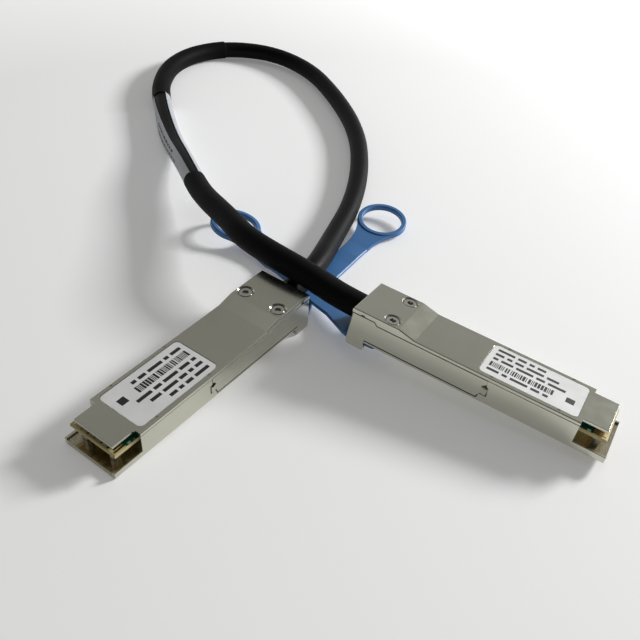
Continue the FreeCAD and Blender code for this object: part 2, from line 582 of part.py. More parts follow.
def ring_with_flare():
    """The finger ring at its own centre, with the flat that widens from the strap, towards +X.

    Each side of the flat is an arc, tangent to the strap's edge and to the ring.
    """
    w, r = TAB_STRAP_WIDTH / 2, RING_OUTER
    arc_radius = (FLARE_LENGTH ** 2 + w ** 2 - r ** 2) / (2 * (r - w))
    reach = math.hypot(FLARE_LENGTH, w + arc_radius)
    touch = Vector(FLARE_LENGTH, w + arc_radius, 0) * (r / reach)
    centre = Vector(FLARE_LENGTH, w + arc_radius, 0)
    halfway = (touch - centre).normalize() + Vector(0, -1, 0)
    middle = centre + halfway.normalize() * arc_radius
    side = Part.Arc(touch, middle, Vector(FLARE_LENGTH, w, 0)).toShape()
    other = side.mirror(Vector(), Vector(0, 1, 0))
    ends = [Vector(FLARE_LENGTH, w, 0), Vector(FLARE_LENGTH, -w, 0)]
    touches = [touch, Vector(touch.x, -touch.y, 0)]
    outline = Part.Wire(Part.__sortEdges__([side, other, Part.makeLine(*ends),
                                            Part.makeLine(*touches)]))
    flat = Part.Face(outline).extrude(UP * TAB_THICKNESS)
    flat.translate(UP * (-TAB_THICKNESS / 2))

    base = UP * (-RING_THICKNESS / 2)
    ring = Part.makeCylinder(RING_OUTER, RING_THICKNESS, base)
    hole = Part.makeCylinder(RING_INNER, RING_THICKNESS, base)
    ring = ring.cut(hole)
    ring = ring.makeFillet(RING_ROUND, [e for e in ring.Edges if isinstance(e.Curve, Part.Circle)])
    inside = Part.makeCylinder((RING_INNER + RING_OUTER) / 2, RING_THICKNESS, base)
    return flat.cut(inside).fuse(ring)


def pull_tab(plug, tab):
    """Root plate in the slide, a strap that eases down to its rest height, and the ring."""
    place = placement_of(plug)
    root_z = -SLIDE_DROP + SLIDE_SHEET + TAB_THICKNESS / 2
    root_start = SLIDE_CHANNEL_START - TAB_ROOT_AHEAD
    plate = rounded_plate(root_start, PLUG_LENGTH + 2.0 - root_start, TAB_ROOT_WIDTH,
                          root_z - TAB_THICKNESS / 2, TAB_THICKNESS, TAB_ROOT_CORNER)
    plate = plate.fuse(tab_keys(0))
    plate.Placement = place.multiply(plate.Placement)

    root = place.multVec(Vector(PLUG_LENGTH, 0, root_z))
    ring_centre = Vector(*tab["ring"])
    ahead = Vector(ring_centre.x - root.x, ring_centre.y - root.y, 0)
    length = ahead.Length - FLARE_LENGTH
    heading = math.degrees(math.atan2(ahead.y, ahead.x))
    level = Rotation(UP, heading)
    tilt = level * Rotation(Vector(0, 1, 0), -tab["rise"]) * Rotation(Vector(1, 0, 0), tab["roll"])
    ring_place = Placement(ring_centre, tilt)
    flare_place = ring_place.multiply(Placement(Vector(-FLARE_LENGTH, 0, 0), Rotation()))
    flare_height = flare_place.Base.z
    ahead.normalize()

    def on_strap(distance, height, width):
        spot = Vector(root.x, root.y, 0) + ahead * distance + UP * height
        return section(Placement(spot, level), width)

    sections = [section(place.multiply(Placement(Vector(PLUG_LENGTH + 0.3, 0, root_z), Rotation())),
                        TAB_ROOT_WIDTH),
                section(place.multiply(Placement(Vector(PLUG_LENGTH + 2.0, 0, root_z), Rotation())),
                        TAB_ROOT_WIDTH)]
    last_step = length - TAB_TAPER - 6
    for i in range(STRAP_STEPS + 1):
        share = i / STRAP_STEPS
        down = min(share / 0.4, 1)
        up = max(0, (share - 0.75) / 0.25)
        height = (tab["rest"] + (root.z - tab["rest"]) * 0.25 * (1 - down) ** 2
                  + (flare_height - tab["rest"]) * 0.8 * up ** 2)
        sections.append(on_strap(TAB_TAPER + last_step * share, height, TAB_STRAP_WIDTH))
    sections.append(section(flare_place, TAB_STRAP_WIDTH))
    strap = Part.makeLoft(sections, True, True)

    ring = ring_with_flare()
    ring.Placement = ring_place.multiply(Placement(Vector(), Rotation(UP, 180)))
    return plate.fuse([strap, ring])


# ---------------------------------------------------------------- cable
def cable_points():
    """Every corner of the route: straight out of both tails, then the chosen points."""
    ends = []
    for plug in (PLUG_A, PLUG_B):
        place = placement_of(plug)
        ends.append([place.multVec(Vector(x, 0, CABLE_HEIGHT))
                     for x in (FERRULE_END, PLUG_LENGTH + EXIT_RUN)])
    return ends[0] + [Vector(*p) for p in ROUTE] + ends[1][::-1]


def bend(before, corner, after):
    """Start, middle and end of the arc at a corner, and its radius."""
    back, on = before - corner, after - corner
    setback = ARC_SHARE * min(back.Length, on.Length)
    back.normalize()
    on.normalize()
    half_turn = (math.pi - back.getAngle(on)) / 2
    radius = setback / math.tan(half_turn)
    inwards = (back + on).normalize()
    middle = corner + inwards * (radius / math.cos(half_turn) - radius)
    return corner + back * setback, middle, corner + on * setback, radius


def cable_path(points):
    """Straight runs joined by tangent arcs, as a list of edges in order."""
    edges = []
    here = points[0]
    for corner in zip(points, points[1:], points[2:]):
        start, middle, end, _ = bend(*corner)
        edges.append(Part.LineSegment(here, start).toShape())
        edges.append(Part.Arc(start, middle, end).toShape())
        here = end
    edges.append(Part.LineSegment(here, points[-1]).toShape())
    return edges


def stretch(edges, start, length):
    """The part of a path that begins at a distance along it."""
    kept = []
    for edge in edges:
        low, high = max(start, 0), min(start + length, edge.Length)
        if high - low > 0.01:
            kept.append(edge.Curve.toShape(edge.getParameterByLength(low),
                                           edge.getParameterByLength(high)))
        start -= edge.Length
    return kept


def start_frame(edges):
    """Where a path begins, its heading, and the sideways and upward directions there."""
    first = edges[0]
    start = first.valueAt(first.FirstParameter)
    ahead = first.tangentAt(first.FirstParameter)
    side = UP.cross(ahead).normalize()
    return start, ahead, side, ahead.cross(side)


def tube(edges, radius):
    start, ahead, _, _ = start_frame(edges)
    ring = Part.Wire([Part.makeCircle(radius, start, ahead)])
    return Part.Wire(edges).makePipeShell([ring], True, False)


def cable(points):
    edges = cable_path(points)
    solid = tube(edges, CABLE_RADIUS)
    length = sum(edge.Length for edge in edges)
    share = solid.Volume / (math.pi * CABLE_RADIUS ** 2 * length)
    radii = [bend(*corner)[3] for corner in zip(points, points[1:], points[2:])]
    print("cable length %.1f mm, volume %.4f of section x length" % (length, share))
    print("bend radii:", ", ".join("%.0f" % radius for radius in radii))
    return solid


def heat_shrink_sleeve(points):
    edges = stretch(cable_path(points), SLEEVE_START, SLEEVE_LENGTH)
    inner = CABLE_RADIUS + JACKET_GAP
    return tube(edges, inner + SLEEVE_THICKNESS).cut(tube(edges, inner))


def cable_label(points):
    """A wrap label, open along one side of the jacket."""
    edges = stretch(cable_path(points), WRAP_START, WRAP_LENGTH)
    start, _, side, up = start_frame(edges)
    inner = CABLE_RADIUS + JACKET_GAP
    outer = inner + WRAP_THICKNESS
    half_gap = math.radians(360 - WRAP_ARC) / 2
    facing = math.radians(WRAP_GAP_FACING)
    angles = [facing + half_gap, facing + math.pi, facing - half_gap + 2 * math.pi]

    def on_ring(radius, angle):
        return start + side * (radius * math.cos(angle)) + up * (radius * math.sin(angle))

    outside = [on_ring(outer, angle) for angle in angles]
    inside = [on_ring(inner, angle) for angle in reversed(angles)]
    profile = Part.Wire([
        Part.Arc(*outside).toShape(),
        Part.LineSegment(outside[2], inside[0]).toShape(),
        Part.Arc(*inside).toShape(),
        Part.LineSegment(inside[2], outside[0]).toShape(),
    ])
    return Part.Wire(edges).makePipeShell([profile], True, False)


# ---------------------------------------------------------------- build
def write(node, shapes):
    solids = [s for shape in shapes for s in shape.Solids]
    for solid in solids:
        if not solid.isValid() or solid.Volume <= 0:
            raise ValueError("%s has a bad solid" % node)
    body = solids[0] if len(solids) == 1 else Part.makeCompound(solids)
    body.exportStep("parts/%s.step" % node)


def build():
    os.makedirs("parts", exist_ok=True)
    in_plug = {
        "top_cover": [top_cover()],
        "bottom_shell": [bottom_shell()],
        "latch_slide": [latch_slide()],
        "return_springs": return_springs(),
        "paddle_card": [paddle_card()],
        "contact_pads": contact_pads(),
        "card_parts": card_parts(),
        "twinax_pairs": twinax_pairs(),
        "shield_braid": [shield_braid()],
        "crimp_ferrule": [crimp_ferrule()],
        "cover_screws": cover_screws(),
        "plug_label": [plug_label()],
    }
    for side, plug, tab in (("a", PLUG_A, TAB_A), ("b", PLUG_B, TAB_B)):
        place = placement_of(plug)
        for name, shapes in in_plug.items():
            placed = []
            for shape in shapes:
                copy = shape.copy()
                copy.Placement = place.multiply(copy.Placement)
                placed.append(copy)
            write("%s_%s" % (name, side), placed)
        write("pull_tab_%s" % side, [pull_tab(plug, tab)])
    points = cable_points()
    write("cable", [cable(points)])
    write("cable_sleeve", [heat_shrink_sleeve(points)])
    write("cable_label", [cable_label(points)])


build()
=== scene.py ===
"""Direct attach copper cable, as it lies on a table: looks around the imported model."""
import math
import random

import bmesh
import bpy
from mathutils import Matrix, Vector


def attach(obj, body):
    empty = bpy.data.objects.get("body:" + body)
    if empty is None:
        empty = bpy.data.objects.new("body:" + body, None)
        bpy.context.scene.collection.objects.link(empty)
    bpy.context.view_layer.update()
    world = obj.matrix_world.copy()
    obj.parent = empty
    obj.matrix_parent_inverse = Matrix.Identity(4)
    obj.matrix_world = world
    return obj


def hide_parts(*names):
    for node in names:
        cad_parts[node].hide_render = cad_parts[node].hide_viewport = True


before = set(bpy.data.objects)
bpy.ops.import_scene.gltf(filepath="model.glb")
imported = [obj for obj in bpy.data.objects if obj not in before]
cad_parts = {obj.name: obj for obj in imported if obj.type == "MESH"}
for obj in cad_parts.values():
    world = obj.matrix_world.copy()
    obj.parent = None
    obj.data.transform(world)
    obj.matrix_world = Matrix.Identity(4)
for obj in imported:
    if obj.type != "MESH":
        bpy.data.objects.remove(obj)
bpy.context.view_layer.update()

MM = 0.001
SIDES = ("a", "b")

# ---------------------------------------------------------------- where the connectors lie
PLUG_LENGTH = 77.0
# tail's x and y, nose's height, then heading, nose-down pitch and roll in degrees, as in the CAD
PLUGS = {
    "a": {"tail": (-22.83, 3.28), "nose": 0.0, "heading": 56.63, "pitch": 2.09, "roll": 0.0},
    "b": {"tail": (0.15, -5.11), "nose": 1.28, "heading": 152.91, "pitch": 4.0, "roll": 8.0},
}


def plug_matrix(side):
    """Connector frame (millimetres, +X nose to tail, +Z up) to the scene, in metres."""
    plug = PLUGS[side]
    turn = (Matrix.Rotation(math.radians(plug["heading"]), 4, "Z")
            @ Matrix.Rotation(math.radians(-plug["pitch"]), 4, "Y")
            @ Matrix.Rotation(math.radians(plug["roll"]), 4, "X"))
    reach = turn @ Vector((PLUG_LENGTH, 0, 0))
    nose = (plug["tail"][0] - reach.x, plug["tail"][1] - reach.y, plug["nose"])
    return Matrix.Scale(MM, 4) @ Matrix.Translation(nose) @ turn


def on_plug(side, x, y, z):
    return plug_matrix(side) @ Vector((x, y, z))


# ---------------------------------------------------------------- camera
CAMERA_PLACE = (-0.01174, -0.18811, 0.157479)
CAMERA_TILT, CAMERA_ROLL = 39.651, 5.478      # degrees down from level, and round the view
LENS, SENSOR = 45.0, 36.0


def make_camera():
    """Low over the connectors, looking down at them, and a little out of level."""
    tilt, roll = math.radians(CAMERA_TILT), math.radians(CAMERA_ROLL)
    ahead = Vector((0, math.cos(tilt), -math.sin(tilt)))
    level, upright = Vector((1, 0, 0)), Vector((0, math.sin(tilt), math.cos(tilt)))
    right = math.cos(roll) * level + math.sin(roll) * upright
    up = math.cos(roll) * upright - math.sin(roll) * level
    data = bpy.data.cameras.new("camera")
    data.lens, data.sensor_width = LENS, SENSOR
    data.clip_start = 0.01
    camera = bpy.data.objects.new("camera", data)
    bpy.context.scene.collection.objects.link(camera)
    turn = Matrix((right, up, -ahead)).transposed().to_4x4()
    camera.matrix_world = Matrix.Translation(CAMERA_PLACE) @ turn
    bpy.context.scene.camera = camera


# ---------------------------------------------------------------- cable
CABLE_RADIUS = 3.6
CABLE_ROUNDS, CABLE_STEPS = 8, 16      # bevel resolution, and curve resolution
FERRULE_END = 71.5
EXIT_RUN = 6.5                         # straight out of the connector's back
CABLE_HEIGHT = 4.9                     # of its middle line, over the connector's underside
ROUTE = [                              # from connector A to connector B, in millimetres
    (-14.2, 19.8, 8.2), (-10.5, 38.0, 5.3), (-3.9, 65.5, 3.65), (-1.5, 95.0, 3.65),
    (-4.0, 125.0, 3.65), (-14.0, 156.0, 3.7), (-28.0, 184.0, 4.0), (-49.0, 200.0, 4.25),
    (-74.0, 199.0, 4.25), (-91.0, 180.5, 4.25), (-94.0, 154.0, 4.25), (-86.5, 126.0, 4.25),
    (-77.0, 99.5, 4.25), (-67.0, 75.0, 8.4), (-57.3, 52.8, 9.8), (-45.4, 33.9, 13.5),
    (-36.2, 17.7, 16.0), (-17.2, 3.9, 15.9),
]


def cable_points():
    ends = [[on_plug(side, x, 0, CABLE_HEIGHT) for x in (FERRULE_END, PLUG_LENGTH + EXIT_RUN)]
            for side in SIDES]
    return ends[0] + [Vector(point) * MM for point in ROUTE] + ends[1][::-1]


def make_cable():
    """The jacket: one smooth curve through the route, and the points that it follows."""
    data = bpy.data.curves.new("cable_jacket", "CURVE")
    data.dimensions = "3D"
    data.resolution_u = CABLE_STEPS
    points = cable_points()
    spline = data.splines.new("NURBS")
    spline.points.add(len(points) - 1)
    for control, point in zip(spline.points, points):
        control.co = (*point, 1.0)
    spline.order_u = 3
    spline.use_endpoint_u = True
    cable = bpy.data.objects.new("cable_jacket", data)
    bpy.context.scene.collection.objects.link(cable)
    bpy.context.view_layer.update()
    line = bpy.data.meshes.new_from_object(cable)
    followed = [vertex.co.copy() for vertex in line.vertices]
    bpy.data.meshes.remove(line)
    data.bevel_depth = CABLE_RADIUS * MM
    data.bevel_resolution = CABLE_ROUNDS
    data.use_fill_caps = True
    return cable, followed


make_camera()
cable, cable_line = make_cable()


# ---------------------------------------------------------------- material tools
def new_material(name, color, roughness, metallic=0.0):
    material = bpy.data.materials.new(name)
    material.use_nodes = True
    shader = material.node_tree.nodes["Principled BSDF"]
    shader.inputs["Base Color"].default_value = (*color, 1.0)
    shader.inputs["Roughness"].default_value = roughness
    shader.inputs["Metallic"].default_value = metallic
    return material, material.node_tree, shader


def noise(tree, scale, detail=3.0, place=None):
    """Noise at so many cells to the metre, in the scene's frame, or at a given place."""
    texture = tree.nodes.new("ShaderNodeTexNoise")
    texture.inputs["Scale"].default_value = scale
    texture.inputs["Detail"].default_value = detail
    if place is None:
        place = tree.nodes.new("ShaderNodeTexCoord").outputs["Object"]
    tree.links.new(place, texture.inputs["Vector"])
    return texture.outputs["Fac"]


def math_node(tree, operation, *values):
    node = tree.nodes.new("ShaderNodeMath")
    node.operation = operation
    for socket, value in zip(node.inputs, values):
        if isinstance(value, (int, float)):
            socket.default_value = value
        else:
            tree.links.new(value, socket)
    return node.outputs[0]


def spread(tree, value, low, high, first=0.3, last=0.7):
    """Low where the value is first, high where it is last. Noise mostly stays between 0.3
    and 0.7."""
    node = tree.nodes.new("ShaderNodeMapRange")
    node.inputs["From Min"].default_value = first
    node.inputs["From Max"].default_value = last
    node.inputs["To Min"].default_value = low
    node.inputs["To Max"].default_value = high
    tree.links.new(value, node.inputs["Value"])
    return node.outputs["Result"]


def bump(tree, height, strength, distance, into):
    node = tree.nodes.new("ShaderNodeBump")
    node.inputs["Distance"].default_value = distance
    if isinstance(strength, (int, float)):
        node.inputs["Strength"].default_value = strength
    else:
        tree.links.new(strength, node.inputs["Strength"])
    tree.links.new(height, node.inputs["Height"])
    tree.links.new(node.outputs["Normal"], into)


def mixed(tree, value, first, second):
    """The first colour at 0 and the second at 1; each is a colour or another mix."""
    node = tree.nodes.new("ShaderNodeMix")
    node.data_type = "RGBA"
    for socket, color in zip((node.inputs[6], node.inputs[7]), (first, second)):
        if isinstance(color, (tuple, list)):
            socket.default_value = (*color, 1.0)
        else:
            tree.links.new(color, socket)
    tree.links.new(value, node.inputs[0])
    return node.outputs[2]


def darker(color, share):
    return [c * share for c in color]


def plug_place(tree, side):
    """A point's place in the connector's own frame, in millimetres."""
    inverse = plug_matrix(side).inverted()
    node = tree.nodes.new("ShaderNodeMapping")
    node.inputs["Location"].default_value = inverse.translation
    node.inputs["Rotation"].default_value = inverse.to_euler()
    node.inputs["Scale"].default_value = (1 / MM,) * 3
    coordinates = tree.nodes.new("ShaderNodeTexCoord")
    tree.links.new(coordinates.outputs["Object"], node.inputs["Vector"])
    return node.outputs["Vector"]


# ---------------------------------------------------------------- metals
NICKEL_COLOR, NICKEL_ROUGHNESS = (0.6, 0.598, 0.508), 0.19
TRAY_SPECKLE_AND_SHADE = ((0.36, 0.31, 0.2), (0.56, 0.52, 0.4))      # the speckle's two colours, darker than the plate: a grain, with painted shade and reflection of the card above the tray
# the posts are the plate's nickel, painted near white above their feet: painted light where they catch
# the lamp
POST_PAINTED_LIGHT, POST_DULLING = (0.95, 0.94, 0.9), 0.3
# where the tray and its posts end, over a soft edge, in millimetres in the connector's frame
TRAY_BACK, TRAY_HIGH, TRAY_SIDE = (9.0, 9.6), (1.5, 1.8), (8.0, 8.2)
POST_LOW, POST_BACK, POST_SIDE = (1.6, 1.9), (4.1, 4.3), (5.3, 5.5)


def nickel(name, color, roughness, grain=0.05):
    """Nickel plate: smooth on broad upper faces, with a fine cast grain on the sides."""
    material, tree, shader = new_material(name, color, roughness, 1.0)
    stain = spread(tree, noise(tree, 45, 4), 0.0, 1.0)
    tree.links.new(mixed(tree, stain, color, darker(color, 0.93)), shader.inputs["Base Color"])
    gloss = spread(tree, noise(tree, 260, 3), roughness * 0.88, roughness * 1.15)
    tree.links.new(gloss, shader.inputs["Roughness"])
    facing = tree.nodes.new("ShaderNodeSeparateXYZ")
    geometry = tree.nodes.new("ShaderNodeNewGeometry")
    tree.links.new(geometry.outputs["Normal"], facing.inputs[0])
    upward = math_node(tree, "ABSOLUTE", facing.outputs["Z"])
    grained = spread(tree, upward, grain * 9, grain, 0.2, 0.9)
    bump(tree, noise(tree, 2600, 3), grained, 0.00004, shader.inputs["Normal"])
    return material


def sheet_metal(name, color, roughness, side):
    """Rolled sheet: faint streaks along the connector."""
    material, tree, shader = new_material(name, color, roughness, 1.0)
    stretch = tree.nodes.new("ShaderNodeMapping")
    stretch.inputs["Scale"].default_value = (0.12, 2.5, 2.5)
    tree.links.new(plug_place(tree, side), stretch.inputs["Vector"])
    streaks = noise(tree, 1.0, 4, stretch.outputs["Vector"])
    shade = spread(tree, streaks, 0.0, 1.0)
    tree.links.new(mixed(tree, shade, color, darker(color, 0.9)), shader.inputs["Base Color"])
    gloss = spread(tree, streaks, roughness * 0.85, roughness * 1.25)
    tree.links.new(gloss, shader.inputs["Roughness"])
    bump(tree, noise(tree, 2200, 3), 0.16, 0.00004, shader.inputs["Normal"])
    return material


# ---------------------------------------------------------------- plastics, papers and the card
def plastic(name, color, roughness, grain, depth, index=1.5):
    """Moulded or extruded plastic: a fine grain, and colour and gloss that drift a little."""
    material, tree, shader = new_material(name, color, roughness)
    shader.inputs["IOR"].default_value = index
    tint = spread(tree, noise(tree, 150, 3), 0.0, 1.0)
    tree.links.new(mixed(tree, tint, color, darker(color, 0.88)), shader.inputs["Base Color"])
    dull = spread(tree, noise(tree, grain, 2), roughness * 0.88, roughness * 1.12)
    tree.links.new(dull, shader.inputs["Roughness"])
    bump(tree, noise(tree, grain, 2), 0.35, depth, shader.inputs["Normal"])
    return material


def laminate(name, side):
    """The card: woven glass laminate, bare at its front edge and sides."""
    glass, resin = (0.6, 0.51, 0.25), (0.5, 0.41, 0.18)
    material, tree, shader = new_material(name, glass, 0.5)
    weave = tree.nodes.new("ShaderNodeTexWave")
    weave.wave_type = "BANDS"
    weave.bands_direction = "Z"
    weave.inputs["Scale"].default_value = 2.2
    weave.inputs["Distortion"].default_value = 1.5
    tree.links.new(plug_place(tree, side), weave.inputs["Vector"])
    tree.links.new(mixed(tree, weave.outputs["Fac"], resin, glass), shader.inputs["Base Color"])
    bump(tree, noise(tree, 2500, 2), 0.3, 0.00003, shader.inputs["Normal"])
    return material


def chip_parts(name, side):
    """Black packages on the card, and pale ceramic ones at its open front."""
    black, pale, first_black = (0.02, 0.02, 0.022), (0.42, 0.5, 0.42), 8.5
    material, tree, shader = new_material(name, black, 0.42)
    split = tree.nodes.new("ShaderNodeSeparateXYZ")
    tree.links.new(plug_place(tree, side), split.inputs[0])
    behind = math_node(tree, "GREATER_THAN", split.outputs["X"], first_black)
    tree.links.new(mixed(tree, behind, pale, black), shader.inputs["Base Color"])
    bump(tree, noise(tree, 3000, 2), 0.3, 0.00002, shader.inputs["Normal"])
    return material


def cast_shell(name, side):
    """The lower casting: the same plate, with a darker speckle on the nose's tray (a grain, with
    painted shade and reflection of the card above it), and the posts painted near white as painted
    light.
    """
    material = nickel(name, NICKEL_COLOR, NICKEL_ROUGHNESS)
    tree = material.node_tree
    shader = tree.nodes["Principled BSDF"]
    plate, gloss = (shader.inputs[key].links[0].from_socket
                    for key in ("Base Color", "Roughness"))
    split = tree.nodes.new("ShaderNodeSeparateXYZ")
    tree.links.new(plug_place(tree, side), split.inputs[0])
    back, high = split.outputs["X"], split.outputs["Z"]
    sideways = math_node(tree, "ABSOLUTE", split.outputs["Y"])

    def within(*limits):
        """1 where each value is under its limit, and 0 past any of them."""
        share = 1.0
        for value, limit in limits:
            under = spread(tree, value, 1.0, 0.0, *limit)
            share = math_node(tree, "MULTIPLY", share, under)
        return share

    # the tray under the card is painted darker, as painted shade and reflection of the card above it,
    # with a speckled grain
    tray = within((back, TRAY_BACK), (high, TRAY_HIGH), (sideways, TRAY_SIDE))
    # painted light: the posts near white above a height, where they are lit
    post = math_node(tree, "MULTIPLY", spread(tree, high, 0.0, 1.0, *POST_LOW),
                     within((back, POST_BACK), (sideways, POST_SIDE)))
    speckle = spread(tree, noise(tree, 3600, 2), 0.0, 1.0, 0.4, 0.62)
    tray_speckle_and_shade = mixed(tree, tray, plate, mixed(tree, speckle, *TRAY_SPECKLE_AND_SHADE))
    tree.links.new(mixed(tree, post, tray_speckle_and_shade, POST_PAINTED_LIGHT), shader.inputs["Base Color"])
    dulled = math_node(tree, "MULTIPLY_ADD", post, POST_DULLING, gloss)
    tree.links.new(dulled, shader.inputs["Roughness"])
    return material


NICKEL = nickel("nickel_cast", NICKEL_COLOR, NICKEL_ROUGHNESS)
SCREW = nickel("screw_steel", (0.66, 0.65, 0.6), 0.14)
FERRULE = nickel("ferrule_nickel", (0.6, 0.59, 0.53), 0.2)
GOLD = nickel("gold_pads", (0.72, 0.5, 0.2), 0.25)
BRAID = nickel("braid_tinned", (0.55, 0.54, 0.5), 0.4, 0.2)
SOLDER = nickel("solder_pads", (0.62, 0.55, 0.38), 0.3)
BLUE = plastic("pull_tab_blue", (0.062, 0.2, 0.47), 0.42, 4000, 0.00002)
JACKET = plastic("cable_black", (0.0035, 0.0038, 0.0042), 0.5, 2500, 0.00002, 1.2)
SLEEVE = plastic("sleeve_black", (0.0055, 0.0053, 0.0053), 0.62, 1800, 0.00003, 1.16)
MASK = plastic("solder_mask_green", (0.008, 0.19, 0.095), 0.22, 3000, 0.00001)
WIRE = plastic("twinax_insulation", (0.6, 0.63, 0.66), 0.35, 2500, 0.00001)
LABEL = plastic("label_white", (0.87, 0.87, 0.86), 0.45, 1500, 0.00001)
WRAP = plastic("wrap_label_grey", (0.5, 0.52, 0.56), 0.42, 1500, 0.00001)
INK = plastic("print_black", (0.012, 0.012, 0.013), 0.5, 3000, 0.00001)

NODE_MATERIALS = {
    "top_cover": NICKEL, "pull_tab": BLUE, "contact_pads": GOLD, "return_springs": FERRULE,
    "twinax_pairs": WIRE, "shield_braid": BRAID, "crimp_ferrule": FERRULE,
    "cover_screws": SCREW, "plug_label": LABEL,
}


def paint(obj, material):
    obj.data.materials.clear()
    obj.data.materials.append(material)


for side in SIDES:
    own = {
        "bottom_shell": cast_shell("nickel_shell_" + side, side),
        "latch_slide": sheet_metal("nickel_sheet_" + side, (0.58, 0.575, 0.49), 0.2, side),
        "paddle_card": laminate("card_laminate_" + side, side),
        "card_parts": chip_parts("chips_" + side, side),
    }
    for name, material in {**NODE_MATERIALS, **own}.items():
        paint(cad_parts["%s_%s" % (name, side)], material)


# ---------------------------------------------------------------- flat pieces on the connectors
def new_piece(name, shape, material, body="root"):
    """A piece from a bmesh, riding on a body."""
    mesh = bpy.data.meshes.new(name)
    bmesh.ops.recalc_face_normals(shape, faces=shape.faces)
    shape.to_mesh(mesh)
    shape.free()
    mesh.materials.append(material)
    piece = bpy.data.objects.new(name, mesh)
    bpy.context.scene.collection.objects.link(piece)
    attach(piece, body)
    return piece


def add_block(shape, place, low, high):
    """An upright block between two corners, carried to its place by a matrix."""
    flat = [(low[0], low[1]), (high[0], low[1]), (high[0], high[1]), (low[0], high[1])]
    lower, upper = ([shape.verts.new(place @ Vector((x, y, z))) for x, y in flat]
                    for z in (low[2], high[2]))
    shape.faces.new(lower[::-1])
    shape.faces.new(upper)
    for i in range(4):
        j = (i + 1) % 4
        shape.faces.new((lower[i], lower[j], upper[j], upper[i]))


LABEL_TOP = 8.42
PRINT_SUNK, PRINT_THICKNESS = 0.01, 0.015
PRINT_START = 37.2                       # every row starts here, and runs towards the nose
PRINT_ROWS = (5.0, -0.8, -3.2, -5.6)     # middles of the rows of plain bars
PRINT_HEIGHT = 1.1
PRINT_LENGTHS = (1.5, 2.5, 3.5, 5.0)     # a bar takes one of these by chance
PRINT_GAP = 0.9
PRINT_REACH = (11.0, 20.0)               # shortest and longest row
BAR_ROW = (2.2, 2.4, 18.0)               # middle, height and length of the upright bars
BAR_UNIT = 0.23
MARK = (14.0, 2.2, 2.4)                  # centre and size of the plain square


def label_print(side):
    """Plain bars of chance length, a row of upright bars and a square: they spell nothing."""
    chance = random.Random(5)
    shape = bmesh.new()
    place = plug_matrix(side)
    bottom, top = LABEL_TOP - PRINT_SUNK, LABEL_TOP + PRINT_THICKNESS

    def block(x0, x1, y0, y1):
        add_block(shape, place, (x0, y0, bottom), (x1, y1, top))

    for middle in PRINT_ROWS:
        x, end = PRINT_START, PRINT_START - chance.uniform(*PRINT_REACH)
        while x > end:
            wide = chance.choice(PRINT_LENGTHS)
            block(x - wide, x, middle - PRINT_HEIGHT / 2, middle + PRINT_HEIGHT / 2)
            x -= wide + PRINT_GAP
    middle, height, length = BAR_ROW
    x = PRINT_START
    while x > PRINT_START - length:
        wide = BAR_UNIT * chance.choice((1, 1, 2, 3))
        block(x - wide, x, middle - height / 2, middle + height / 2)
        x -= wide + BAR_UNIT * chance.choice((1, 1, 1, 2))
    x, y, size = MARK
    block(x - size / 2, x + size / 2, y - size / 2, y + size / 2)
    new_piece("label_print_" + side, shape, INK)


CARD_TOP = 6.35
MASK_FROM, MASK_TO, MASK_HALF = 5.6, 24.3, 7.95
MASK_THICKNESS, METAL_THICKNESS = 0.03, 0.02
TRACE = (2.4, 5.6, 7.35, 0.28)       # start, end, distance from the middle, width
SQUARE_PAD = (8.1, 8.9, 7.15, 7.85)  # start, end, inner and outer side


def card_finish(side):
    """Green mask over the card behind its contacts, a trace beside them, and a plated pad."""
    place = plug_matrix(side)
    mask, traces, pads = bmesh.new(), bmesh.new(), bmesh.new()
    mask_top = CARD_TOP + MASK_THICKNESS
    add_block(mask, place, (MASK_FROM, -MASK_HALF, CARD_TOP), (MASK_TO, MASK_HALF, mask_top))
    start, end, middle, width = TRACE
    for way in (1, -1):
        low, high = sorted((way * (middle - width / 2), way * (middle + width / 2)))
        add_block(traces, place, (start, low, CARD_TOP), (end, high, CARD_TOP + METAL_THICKNESS))
        low, high = sorted((way * SQUARE_PAD[2], way * SQUARE_PAD[3]))
        add_block(pads, place, (SQUARE_PAD[0], low, CARD_TOP),
                  (SQUARE_PAD[1], high, mask_top + METAL_THICKNESS))
    new_piece("solder_mask_" + side, mask, MASK)
    new_piece("card_traces_" + side, traces, INK)
    new_piece("card_pads_" + side, pads, SOLDER)


for side in SIDES:
    label_print(side)
    card_finish(side)


# ---------------------------------------------------------------- pieces along the cable
SKIN_INNER = 3.62
SKIN_STEP = 1.5                          # between a skin's rings, along the cable
RIM_STEPS, RIM_LENGTH = (0.0, 0.2, 0.5, 1.0), 0.6    # closer rings where a skin ends
TUBE_SIDES, WRAP_SIDES, BAR_SIDES = 40, 48, 4
SHARP_EDGE = 50                          # degrees


def distances(line):
    """The distance along a line at each of its points, in metres."""
    travelled = [0.0]
    for a, b in zip(line, line[1:]):
        travelled.append(travelled[-1] + (b - a).length)
    return travelled


TRAVELLED = distances(cable_line)


def cable_frame(distance):
    """The point at a distance along the cable, and the directions sideways and upwards there."""
    last = len(cable_line) - 1
    i = min(sum(1 for d in TRAVELLED if d <= distance), last) - 1
    share = (distance - TRAVELLED[i]) / (TRAVELLED[i + 1] - TRAVELLED[i])
    near, far = ((cable_line[min(k + 1, last)] - cable_line[max(k - 1, 0)]).normalized()
                 for k in (i, i + 1))
    ahead = near.lerp(far, share).normalized()
    sideways = Vector((0, 0, 1)).cross(ahead).normalized()
    return cable_line[i].lerp(cable_line[i + 1], share), sideways, ahead.cross(sideways)


